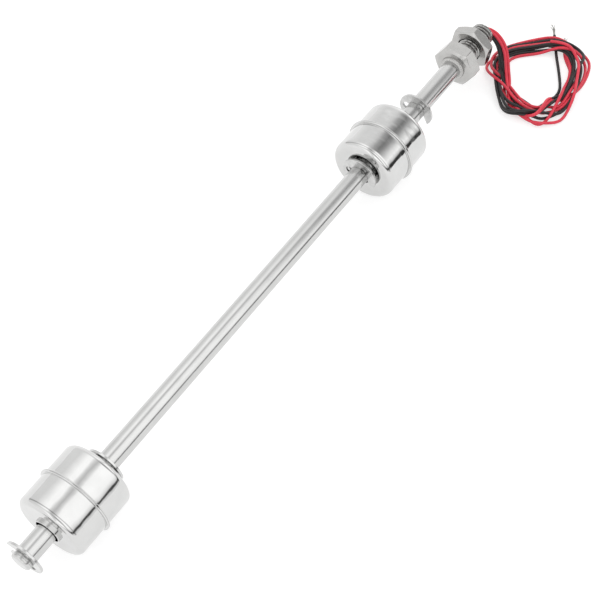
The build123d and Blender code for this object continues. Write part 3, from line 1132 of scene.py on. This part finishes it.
def strand_bundle(name, route):
    """The bare strands of a wire's end, twisted together and parting towards their tips."""
    sizes = group("switch_sizes")
    radius = sizes.strand_diameter / 2
    line = points_along(name, route)
    points = []
    faces = []
    ring = STRAND_SIDES
    for strand in range(STRANDS):
        angle = 2 * math.pi * strand / (STRANDS - 1)
        centres = []
        for index, centre in enumerate(line):
            share = index / (len(line) - 1)
            along = (line[min(index + 1, len(line) - 1)] - line[max(index - 1, 0)]).normalized()
            side = along.cross(Vector((0, 0, 1))).normalized()
            up = side.cross(along)
            reach = STRAND_SPACING * radius if strand < STRANDS - 1 else 0.0
            parting = 1 + STRAND_PARTINGS[strand % 2] * share**2
            twist = angle + STRAND_TWIST * share
            offset = (side * math.cos(twist) * parting + up * math.sin(twist)) * reach
            place = centre + offset
            place.z = max(place.z, radius)
            centres.append((place, side, up))
        last = len(centres) - 1 - strand % STRAND_LENGTHS
        base = len(points)
        for place, side, up in centres[: last + 1]:
            for corner in range(ring):
                turn = 2 * math.pi * corner / ring
                points.append(tuple(place + (side * math.cos(turn) + up * math.sin(turn)) * radius))
        for row in range(last):
            for corner in range(ring):
                after = (corner + 1) % ring
                here = base + row * ring
                faces.append((here + corner, here + after, here + ring + after, here + ring + corner))
        faces.append(tuple(base + corner for corner in range(ring)))
        faces.append(tuple(base + last * ring + corner for corner in range(ring)))
    return points, faces


class SWITCH_OT_wires(bpy.types.Operator):
    """Winds the four wires from the head into their loose coil"""

    bl_idname = "switch.wires"
    bl_label = "Wires"

    def execute(self, context):
        sizes = group("switch_sizes")
        runs, laid = laid_coil()
        extra_nodes = {"black_wire_2": ("wire_coil", "black_wire_tail")}
        bare_nodes = {"black_wire_2": "black_wire_bare_end", "red_wire_2": "red_wire_bare_end"}
        for wire in WIRE_ROUTES:
            points = wire_points(wire, runs[wire], laid)
            curve = smooth_line(wire + "_lead", points)
            curve.bevel_depth = sizes.wire_diameter / 2
            curve.bevel_resolution = 4
            curve.use_fill_caps = True
            piece = bpy.data.objects.new(wire + "_lead", curve)
            finish = "red_insulation" if wire.startswith("red") else "black_insulation"
            nodes = (wire, "wire_coil", *extra_nodes.get(wire, ()))
            placed(piece, finish, "stem", nodes)
            line = points_along(wire + "_line", points)
            if wire in STRAND_ROUTES:
                name = bare_nodes[wire].replace("bare_end", "strands")
                skin = strand_bundle(name, [points[-1], *STRAND_ROUTES[wire]])
                piece_of(name, *skin, "bare_strands", "stem", (bare_nodes[wire],))
        return {"FINISHED"}


# The stem

# The clips from the closed end up, and how far round the stem each one's mouth is turned, in degrees from +Y
CLIP_TURNS = {
    "lower_float_bottom_clip": 356.0,
    "lower_float_top_clip": 293.0,
    "upper_float_bottom_clip": 240.0,
    "upper_float_top_clip": 243.0,
}


class SWITCH_OT_stem(bpy.types.Operator):
    """Builds the stem tube with its clip grooves, and the plug that closes it"""

    bl_idname = "switch.stem"
    bl_label = "Stem"

    def execute(self, context):
        sizes = group("switch_sizes")
        groove = sizes.clip_groove_radius
        bore = STEM_RADIUS - sizes.stem_wall
        corners = [(STEM_LOW.x, bore, 0.0), (STEM_LOW.x, STEM_RADIUS, SEAM_ROUND)]
        for name in CLIP_TURNS:
            low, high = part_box(name)
            corners.append((low.x - CLIP_PLAY, STEM_RADIUS, GROOVE_ROUND))
            corners.append((low.x - CLIP_PLAY, groove, 0.0))
            corners.append((high.x + CLIP_PLAY, groove, 0.0))
            corners.append((high.x + CLIP_PLAY, STEM_RADIUS, GROOVE_ROUND))
        corners.extend([(STEM_HIGH.x, STEM_RADIUS, 0.0), (STEM_HIGH.x, bore, 0.0)])
        outline = rounded(corners)
        points, faces = turned(lambda angle: outline, even_angles(TUBE_SIDES))
        piece_of("stem", points, faces, "satin_steel", "stem", ("stem_tube",))
        plug = rounded([
            (PLUG_LOW.x, 0.0, 0.0),
            (PLUG_LOW.x, STEM_RADIUS, PLUG_ROUND),
            (STEM_LOW.x, STEM_RADIUS, SEAM_ROUND),
            (STEM_LOW.x, bore - PUSH_FIT, 0.0),
            (PLUG_HIGH.x, bore - PUSH_FIT, 0.0),
            (PLUG_HIGH.x, 0.0, 0.0),
        ], steps=8)
        points, faces = turned(lambda angle: plug, even_angles(TUBE_SIDES))
        piece_of("end_plug", points, faces, "satin_steel", "stem", ("stem_end_plug",))
        return {"FINISHED"}


# The head and the lock nut

# A hex: the turn from side to side, the angles that divide a side, and how they crowd at its corners
SIDE_DEGREES = 60.0
HEX_STEPS = 28
HEX_CROWDING = 1.8
# The thread: the rows to each turn, and the shares of half a turn that the crest and the flank take
THREAD_ROWS = 12
THREAD_CREST = 0.12
THREAD_FLANK = 0.72
# The weld bead: its reach along the stem and up the hex, how far it goes into the hex, how full its section
# is, its drops, and how much of its size is even, swells with each drop and wanders slowly
WELD_LEG = 1.4 * MM
WELD_HEIGHT = 1.5 * MM
WELD_ROOT = 0.2 * MM
WELD_FULLNESS = 0.9
WELD_STEPS = 12
WELD_DROPS = 34
WELD_DROP_ROUNDNESS = 0.6
WELD_EVEN = 0.82
WELD_SWELL = 0.14
WELD_WANDER = 0.06
# The bead's slow wander: how often each wave of it goes round, and where it starts in radians
WELD_WANDERS = ((3, 0.7), (5, 0.0))
WELD_SHARP_DEGREES = 60.0


def hex_angles(turn):
    """Angles round a hex that stands turned by this many degrees, closer together towards its corners."""
    angles = []
    for corner in range(6):
        for step in range(HEX_STEPS):
            share = (step - HEX_STEPS / 2) / (HEX_STEPS / 2)
            lean = math.copysign(abs(share) ** HEX_CROWDING, share) * SIDE_DEGREES / 2
            angles.append(math.radians(turn + SIDE_DEGREES * corner + lean))
    return angles


def hex_radius(angle, turn):
    """How far a hex with slightly rounded corners reaches from the axis at an angle."""
    apothem = group("switch_sizes").hex_across_flats / 2
    lean = (math.degrees(angle) - turn + SIDE_DEGREES / 2) % SIDE_DEGREES - SIDE_DEGREES / 2
    lean = abs(math.radians(lean))
    half = math.radians(SIDE_DEGREES / 2)
    centre = (apothem - HEX_CORNER_ROUND) / math.cos(half)
    tangent = math.atan2(HEX_CORNER_ROUND * math.sin(half), centre + HEX_CORNER_ROUND * math.cos(half))
    if lean >= tangent:
        return apothem / math.cos(half - lean)
    return centre * math.cos(lean) + math.sqrt(HEX_CORNER_ROUND**2 - (centre * math.sin(lean)) ** 2)


def thread_radius(x, angle):
    """The thread's surface at a place along it: a helix with flat crests and roots."""
    sizes = group("switch_sizes")
    phase = (x / sizes.thread_pitch - angle / (2 * math.pi)) % 1.0
    from_crest = 1 - abs(2 * phase - 1)
    groove = min(max((from_crest - THREAD_CREST) / THREAD_FLANK, 0.0), 1.0)
    return sizes.thread_radius - sizes.thread_depth * groove


def head_outline(angle):
    """The head's section at an angle: the hex, the relief in it, the thread and the bore."""
    sizes = group("switch_sizes")
    hex_x = SEAT_X - sizes.hex_height
    reach = hex_radius(angle, 0.0)
    slope = math.tan(math.radians(CHAMFER_DEGREES))
    root = sizes.thread_radius - UNDERCUT
    bore = sizes.wire_bore_radius
    corners = [
        (hex_x, SOCKET_RADIUS, 0.0),
        (hex_x, HEX_FACE_RADIUS, HEX_FACE_ROUND),
        (hex_x + (reach - HEX_FACE_RADIUS) * slope, reach, HEX_CHAMFER_ROUND),
        (SEAT_X - (reach - HEX_TOP_RADIUS) * slope, reach, HEX_SIDE_ROUND),
        (SEAT_X, HEX_TOP_RADIUS, HEX_FACE_ROUND),
        (SEAT_X, sizes.thread_radius + RELIEF, RELIEF_ROUND),
        (SEAT_X - RELIEF, sizes.thread_radius + RELIEF, 0.0),
        (SEAT_X - RELIEF, root, 0.0),
    ]
    start_x = SEAT_X + sizes.thread_pitch - UNDERCUT
    rows = math.ceil((EXIT_X - start_x) / sizes.thread_pitch * THREAD_ROWS)
    for row in range(rows + 1):
        x = start_x + (EXIT_X - start_x) * row / rows
        run_in = root + (x - start_x)
        run_out = sizes.thread_radius - THREAD_END_CHAMFER + (EXIT_X - x)
        corners.append((x, min(run_in, run_out, thread_radius(x, angle)), 0.0))
    corners.extend([
        (EXIT_X, bore, BORE_ROUND),
        (hex_x + SOCKET_DEPTH, bore, 0.0),
        (hex_x + SOCKET_DEPTH, SOCKET_RADIUS, 0.0),
    ])
    return rounded(corners, steps=3)


def weld_outline(angle):
    """The weld bead's section at an angle, which swells and thins where each drop set."""
    hex_x = SEAT_X - group("switch_sizes").hex_height
    drop = abs(math.sin(angle * WELD_DROPS / 2)) ** WELD_DROP_ROUNDNESS
    wander = sum(math.sin(around * angle + start) for around, start in WELD_WANDERS) / len(WELD_WANDERS)
    swell = WELD_EVEN + WELD_SWELL * drop + WELD_WANDER * wander
    under = STEM_RADIUS + PUSH_FIT
    outline = [(hex_x + WELD_ROOT, under)]
    for step in range(WELD_STEPS + 1):
        share = math.pi / 2 * step / WELD_STEPS
        along = WELD_LEG * swell * math.cos(share) ** WELD_FULLNESS
        height = WELD_HEIGHT * swell * math.sin(share) ** WELD_FULLNESS
        outline.append((hex_x - along, under + height))
    outline.append((hex_x + WELD_ROOT, under + WELD_HEIGHT * swell))
    return outline


class SWITCH_OT_head(bpy.types.Operator):
    """Builds the mounting head with its hex, its thread and its weld bead"""

    bl_idname = "switch.head"
    bl_label = "Mounting head"

    def execute(self, context):
        nodes = ("mounting_head",)
        points, faces = turned(head_outline, hex_angles(0.0))
        piece_of("head", points, faces, "head_steel", "stem", nodes)
        points, faces = turned(weld_outline, even_angles(WELD_SIDES))
        piece_of("head_weld", points, faces, "head_steel", "stem", nodes, sharp=WELD_SHARP_DEGREES)
        return {"FINISHED"}


def nut_outline(angle):
    """The lock nut's section at an angle."""
    sizes = group("switch_sizes")
    reach = hex_radius(angle, NUT_TURN)
    chamfer = (reach - NUT_FACE_RADIUS) * math.tan(math.radians(CHAMFER_DEGREES))
    bore = sizes.thread_radius + THREAD_SLIP
    mouth = bore + NUT_MOUTH
    return rounded([
        (NUT_LOW.x, mouth, MOUTH_ROUND),
        (NUT_LOW.x, NUT_FACE_RADIUS, HEX_FACE_ROUND),
        (NUT_LOW.x + chamfer, reach, HEX_SIDE_ROUND),
        (NUT_HIGH.x - chamfer, reach, HEX_SIDE_ROUND),
        (NUT_HIGH.x, NUT_FACE_RADIUS, HEX_FACE_ROUND),
        (NUT_HIGH.x, mouth, MOUTH_ROUND),
        (NUT_HIGH.x - NUT_MOUTH, bore, 0.0),
        (NUT_LOW.x + NUT_MOUTH, bore, 0.0),
    ], steps=3)


class SWITCH_OT_lock_nut(bpy.types.Operator):
    """Builds the lock nut"""

    bl_idname = "switch.lock_nut"
    bl_label = "Lock nut"

    def execute(self, context):
        points, faces = turned(nut_outline, hex_angles(NUT_TURN))
        piece_of("nut", points, faces, "head_steel", "lock_nut", ("lock_nut",))
        return {"FINISHED"}


# The clips

# The turns of a clip's two notches from its mouth, in degrees, the steps in its arcs, and its edges' rounding
CLIP_NOTCH_TURNS = (240, 120)
CLIP_OUTER_STEPS = 96
CLIP_INNER_STEPS = 12
CLIP_NOTCH_STEPS = 24
CLIP_EDGE_STEPS = 2
CLIP_EDGE_DEGREES = 50.0


def clip_outline():
    """A clip's outline round the origin, with its mouth towards +X and a notch each side at the back."""
    sizes = group("switch_sizes")
    outer = sizes.clip_radius
    inner = sizes.clip_groove_radius + PUSH_FIT
    notch = sizes.clip_notch_radius
    centre = sizes.clip_notch_reach - notch
    outer_lip = math.degrees(math.asin(sizes.clip_mouth / 2 / outer))
    inner_lip = math.degrees(math.asin(sizes.clip_mouth / 2 / inner))
    cross = math.degrees(math.acos((inner**2 + centre**2 - notch**2) / (2 * inner * centre)))
    notch_cross = math.degrees(math.acos((notch**2 + centre**2 - inner**2) / (2 * notch * centre)))
    outline = arc(0, 0, outer, outer_lip, 360 - outer_lip, CLIP_OUTER_STEPS)
    start = 360 - inner_lip
    sweep = 180 - notch_cross
    for turn in CLIP_NOTCH_TURNS:
        outline.extend(arc(0, 0, inner, start, turn + cross, CLIP_INNER_STEPS))
        middle = math.radians(turn)
        place = (centre * math.cos(middle), centre * math.sin(middle))
        outline.extend(arc(*place, notch, turn + sweep, turn - sweep, CLIP_NOTCH_STEPS)[1:-1])
        start = turn - cross
    outline.extend(arc(0, 0, inner, start, inner_lip, CLIP_INNER_STEPS))
    return outline


class SWITCH_OT_clips(bpy.types.Operator):
    """Builds the four retaining clips"""

    bl_idname = "switch.clips"
    bl_label = "Retaining clips"

    def execute(self, context):
        outline = clip_outline()
        count = len(outline)
        for name, degrees in CLIP_TURNS.items():
            low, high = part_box(name)
            turn = math.radians(degrees)
            points = []
            for x in (low.x, high.x):
                for across, up in outline:
                    y = across * math.cos(turn) - up * math.sin(turn)
                    z = across * math.sin(turn) + up * math.cos(turn)
                    points.append((x, y, AXIS_HEIGHT + z))
            faces = [tuple(range(count)), tuple(range(count, 2 * count))]
            for index in range(count):
                after = (index + 1) % count
                faces.append((index, after, count + after, count + index))
            ring = name.replace("_clip", "_ring")
            clip = piece_of(ring, points, faces, "clip_steel", "stem", (name,), weighted=False)
            bevel = clip.modifiers.new("edges", "BEVEL")
            bevel.width = CLIP_EDGE_ROUND
            bevel.segments = CLIP_EDGE_STEPS
            bevel.limit_method = "ANGLE"
            bevel.angle_limit = math.radians(CLIP_EDGE_DEGREES)
            bevel.harden_normals = True
        return {"FINISHED"}


# The floats

# The waves on a shell: each one's share, how many go round, how it leans along the stem in radians to the
# metre, and how far the seed shifts it
SHELL_WAVES = (
    (0.5, 7, 210.0, 1.0),
    (0.3, 13, -400.0, 2.1),
    (0.2, 19, 650.0, 3.3),
)
# How far from the seam the waves begin, and over what distance they grow and fade
WAVES_BEGIN = 1.0 * MM
WAVES_FADE = 1.5 * MM
FIRST_SEED = 1.7


def waves(x, angle, seed):
    """The soft waves of a drawn and polished shell, at most 1 high and deep."""
    height = 0.0
    for share, around, lean, shift in SHELL_WAVES:
        height += share * math.sin(around * angle + lean * x + shift * seed)
    return height


def shell_outline(node, outward):
    """The section of a float's half shell, as its outer side and its inner side."""
    sizes = group("switch_sizes")
    low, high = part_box(node)
    seam_x, face_x = (low.x, high.x) if outward > 0 else (high.x, low.x)
    bead = (high.z - low.z) / 2
    outer = bead - sizes.float_bead_height
    hole = SLEEVE_RADIUS + PUSH_FIT
    lip_x = seam_x + outward * sizes.float_bead_lip
    wall = sizes.float_wall
    inner_x = face_x - outward * wall
    outside = rounded([
        (face_x, hole, 0.0),
        (face_x, outer, sizes.float_edge_radius),
        (lip_x, outer, LIP_ROUND),
        (lip_x, bead, BEAD_ROUND),
        (seam_x + outward * SEAM_LINE, bead, 0.0),
        (seam_x, bead - SEAM_LINE * 2, 0.0),
        (seam_x, outer - wall, 0.0),
    ], steps=7)
    inside = rounded([
        (seam_x, outer - wall, 0.0),
        (inner_x, outer - wall, sizes.float_edge_radius - wall),
        (inner_x, hole, 0.0),
        (face_x, hole, 0.0),
    ], steps=5)
    return divided(outside, SHELL_STEP), inside[1:-1]


def shell_at(node, outward, seed):
    """A half shell's section at any angle, with its waves."""
    outside, inside = shell_outline(node, outward)
    low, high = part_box(node)
    seam_x = low.x if outward > 0 else high.x
    outer = (high.z - low.z) / 2 - group("switch_sizes").float_bead_height
    dents = group("switch_sizes").float_dents

    def at(angle):
        section = []
        for x, r in outside:
            clear_of_bead = min(max((abs(x - seam_x) - WAVES_BEGIN) / WAVES_FADE, 0.0), 1.0)
            on_wall = min(max((r - outer + WAVES_FADE) / WAVES_FADE, 0.0), 1.0)
            section.append((x, r + dents * clear_of_bead * on_wall * waves(x, angle, seed)))
        return section + inside

    return at


class SWITCH_OT_floats(bpy.types.Operator):
    """Builds the two floats: their half shells and their sleeves"""

    bl_idname = "switch.floats"
    bl_label = "Floats"

    def execute(self, context):
        for seed, body in enumerate(("lower_float", "upper_float")):
            for half, outward in (("bottom_shell", -1), ("top_shell", 1)):
                node = f"{body}_{half}"
                points, faces = turned(shell_at(node, outward, FIRST_SEED + seed), even_angles(SHELL_SIDES))
                piece_of(f"{body}_{half}_skin", points, faces, "polished_steel", body, (node,))
            node = body + "_sleeve"
            low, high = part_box(node)
            radius = (high.z - low.z) / 2
            outline = rounded([
                (low.x, radius - SLEEVE_WALL, HUB_INNER_ROUND),
                (low.x, radius, HUB_OUTER_ROUND),
                (high.x, radius, HUB_OUTER_ROUND),
                (high.x, radius - SLEEVE_WALL, HUB_INNER_ROUND),
            ], steps=5)
            points, faces = turned(lambda angle: outline, even_angles(TUBE_SIDES))
            piece_of(body + "_hub", points, faces, "polished_steel", body, (node,))
        return {"FINISHED"}


# The inside

INNER_FINISHES = {
    "potting_plug": "potting_resin",
    "inner_red_wire_1": "red_insulation",
    "inner_red_wire_2": "red_insulation",
    "inner_black_wire_1": "black_insulation",
    "inner_black_wire_2": "black_insulation",
}
for float_name in ("lower_float", "upper_float"):
    INNER_FINISHES[float_name + "_magnet"] = "magnet_ferrite"
    INNER_FINISHES[float_name + "_magnet_collars"] = "collar_plastic"
for reed_name in ("lower_reed", "upper_reed"):
    INNER_FINISHES[reed_name + "_glass"] = "reed_glass"
    INNER_FINISHES[reed_name + "_leads"] = "reed_lead_metal"
    INNER_FINISHES[reed_name + "_shrink_sleeve"] = "shrink_plastic"


class SWITCH_OT_inside(bpy.types.Operator):
    """Gives the pieces inside the stem, the floats and the head their finishes"""

    bl_idname = "switch.inside"
    bl_label = "Inside"

    def execute(self, context):
        for name, finish in INNER_FINISHES.items():
            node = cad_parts[name]
            if not node.material_slots:
                raise RuntimeError(f"{name} has no material slot")
            for material_slot in node.material_slots:
                material_slot.material = finish_of(finish)
        return {"FINISHED"}


class VIEW3D_PT_level_switch(bpy.types.Panel):
    """Lists the switch's sizes, colours and pieces"""

    bl_label = "Level Switch"
    bl_idname = "VIEW3D_PT_level_switch"
    bl_space_type = "VIEW_3D"
    bl_region_type = "UI"
    bl_category = "Level Switch"

    def draw(self, context):
        for name in GROUPS:
            settings = group(name)
            box = self.layout.box()
            for setting in settings.__annotations__:
                box.prop(settings, setting)
        for operator in OPERATORS:
            self.layout.operator(operator.bl_idname)


GROUPS = {"switch_sizes": SwitchSizes, "switch_colours": SwitchColours, "switch_stage": SwitchStage}
OPERATORS = (
    SWITCH_OT_stage,
    SWITCH_OT_wires,
    SWITCH_OT_stem,
    SWITCH_OT_head,
    SWITCH_OT_lock_nut,
    SWITCH_OT_clips,
    SWITCH_OT_floats,
    SWITCH_OT_inside,
)


def register():
    """Registers the groups, the operators and the panel."""
    for name, settings in GROUPS.items():
        bpy.utils.register_class(settings)
        setattr(bpy.types.Scene, name, bpy.props.PointerProperty(type=settings))
    for operator in OPERATORS:
        bpy.utils.register_class(operator)
    bpy.utils.register_class(VIEW3D_PT_level_switch)


def unregister():
    """Takes all of them out again."""
    bpy.utils.unregister_class(VIEW3D_PT_level_switch)
    for operator in reversed(OPERATORS):
        bpy.utils.unregister_class(operator)
    for name, settings in GROUPS.items():
        delattr(bpy.types.Scene, name)
        bpy.utils.unregister_class(settings)


def main():
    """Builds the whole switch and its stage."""
    register()
    bpy.ops.switch.stage()
    bpy.ops.switch.wires()
    bpy.ops.switch.stem()
    bpy.ops.switch.head()
    bpy.ops.switch.lock_nut()
    bpy.ops.switch.clips()
    bpy.ops.switch.floats()
    bpy.ops.switch.inside()


if __name__ == "__main__":
    main()
